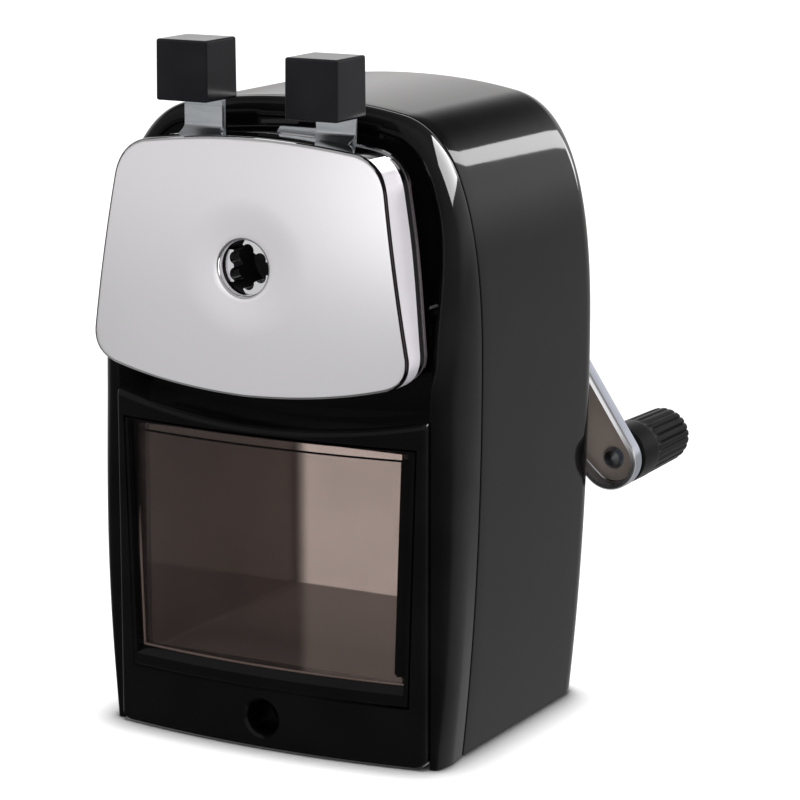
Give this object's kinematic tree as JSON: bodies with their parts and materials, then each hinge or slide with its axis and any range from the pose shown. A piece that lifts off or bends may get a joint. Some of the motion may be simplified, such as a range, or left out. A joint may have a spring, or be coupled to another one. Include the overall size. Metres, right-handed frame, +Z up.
{
  "type": "pencil sharpener",
  "caption": "Hand-crank desk pencil sharpener: black body, chrome sliding faceplate with grip levers, smoked shavings drawer and a rear crank with a knob.",
  "frame": {"origin": "middle of the rubber pad's underside, on the surface that the sharpener stands on", "axes": "+Z up, -Y towards the front with the pencil hole and drawer, +X to the right seen from the front"},
  "size_m": [0.0826, 0.1016, 0.1306],
  "materials": {
    "gloss_black": "high-gloss moulded",
    "matte_black": "satin moulded",
    "rubber": "matte",
    "chrome": "mirror plated",
    "zinc_steel": "zinc plated",
    "spring_wire": "drawn wire",
    "cast_metal": "die cast",
    "tool_steel": "ground",
    "nylon": "moulded",
    "smoked_clear": "clear smoked moulding"
  },
  "bodies": {
    "root": {"front_housing": "gloss_black", "rear_shell": "gloss_black", "base_plate": "matte_black", "base_pad": "rubber", "base_screw_front_left": "zinc_steel", "base_screw_rear_left": "zinc_steel", "base_screw_front_right": "zinc_steel", "base_screw_rear_right": "zinc_steel", "shell_screw_left": "zinc_steel", "shell_screw_right": "zinc_steel", "mechanism_frame": "cast_metal", "ring_gear": "nylon", "shaft_bush": "nylon", "frame_screw_1": "zinc_steel", "frame_screw_2": "zinc_steel", "frame_screw_3": "zinc_steel", "frame_screw_4": "zinc_steel", "rod_bush_left": "matte_black", "rod_bush_right": "matte_black", "return_spring_left": "spring_wire", "return_spring_right": "spring_wire"},
    "carriage": {"faceplate": "chrome", "jaw_guide": "matte_black", "carriage_plate": "zinc_steel", "lever_spring": "spring_wire", "guide_rod_left": "chrome", "guide_rod_right": "chrome", "rod_clip_left": "zinc_steel", "rod_clip_right": "zinc_steel"},
    "left_lever": {"lever_left": "zinc_steel", "lever_cap_left": "gloss_black"},
    "right_lever": {"lever_right": "zinc_steel", "lever_cap_right": "gloss_black"},
    "upper_jaw": {"jaw_1": "chrome"},
    "left_jaw": {"jaw_2": "chrome"},
    "lower_jaw": {"jaw_3": "chrome"},
    "drawer_body": {"drawer": "smoked_clear"},
    "crank": {"cutter_carrier": "cast_metal", "cutter_axle": "zinc_steel", "shaft_washer": "zinc_steel", "crank_arm": "chrome", "crank_nut": "chrome", "knob_rivet": "zinc_steel"},
    "cutter_body": {"cutter": "tool_steel", "cutter_pinion": "nylon"},
    "knob_body": {"knob": "matte_black"}
  },
  "joints": [
    {"name": "faceplate_slide", "type": "slide", "parent": "root", "child": "carriage", "axis": [0, -1, 0], "range_m": [0, 0.027], "stiffness_N_per_m": 150, "springref_m": -0.02, "deforming": ["return_spring_left", "return_spring_right"]},
    {"name": "lever_left_squeeze", "type": "hinge", "parent": "carriage", "child": "left_lever", "pos_m": [0, -0.0287, 0.0908], "axis": [0, 1, 0], "range_deg": [0, 10.5], "stiffness_Nm_per_rad": 0.4, "springref_deg": -17.19, "deforming": ["lever_spring"]},
    {"name": "lever_right_squeeze", "type": "hinge", "parent": "carriage", "child": "right_lever", "pos_m": [0, -0.0272, 0.0908], "axis": [0, 1, 0], "range_deg": [-10.5, 0]},
    {"name": "upper_jaw_slide", "type": "slide", "parent": "carriage", "child": "upper_jaw", "axis": [0.5, 0, 0.866], "range_m": [0, 0.00225]},
    {"name": "left_jaw_slide", "type": "slide", "parent": "carriage", "child": "left_jaw", "axis": [-1, 0, 0], "range_m": [0, 0.00225]},
    {"name": "lower_jaw_slide", "type": "slide", "parent": "carriage", "child": "lower_jaw", "axis": [0.5, 0, -0.866], "range_m": [0, 0.00225]},
    {"name": "drawer_slide", "type": "slide", "parent": "root", "child": "drawer_body", "axis": [0, -1, 0], "range_m": [0, 0.05]},
    {"name": "crank_turn", "type": "hinge", "parent": "root", "child": "crank", "pos_m": [0, 0.036, 0.0908], "axis": [0, 1, 0], "continuous": true},
    {"name": "cutter_spin", "type": "hinge", "parent": "crank", "child": "cutter_body", "pos_m": [0, -0.0173, 0.1013], "axis": [0, 0.9848, -0.1736], "continuous": true},
    {"name": "knob_spin", "type": "hinge", "parent": "crank", "child": "knob_body", "pos_m": [0.03841, 0.05, 0.04535], "axis": [0, 1, 0], "continuous": true}
  ],
  "couplings": [
    {"joint": "lever_right_squeeze", "follows": "lever_left_squeeze", "ratio": -1},
    {"joint": "upper_jaw_slide", "follows": "lever_left_squeeze", "m_per_rad": 0.012},
    {"joint": "left_jaw_slide", "follows": "lever_left_squeeze", "m_per_rad": 0.012},
    {"joint": "lower_jaw_slide", "follows": "lever_left_squeeze", "m_per_rad": 0.012},
    {"joint": "cutter_spin", "follows": "crank_turn", "ratio": -3.1}
  ]
}
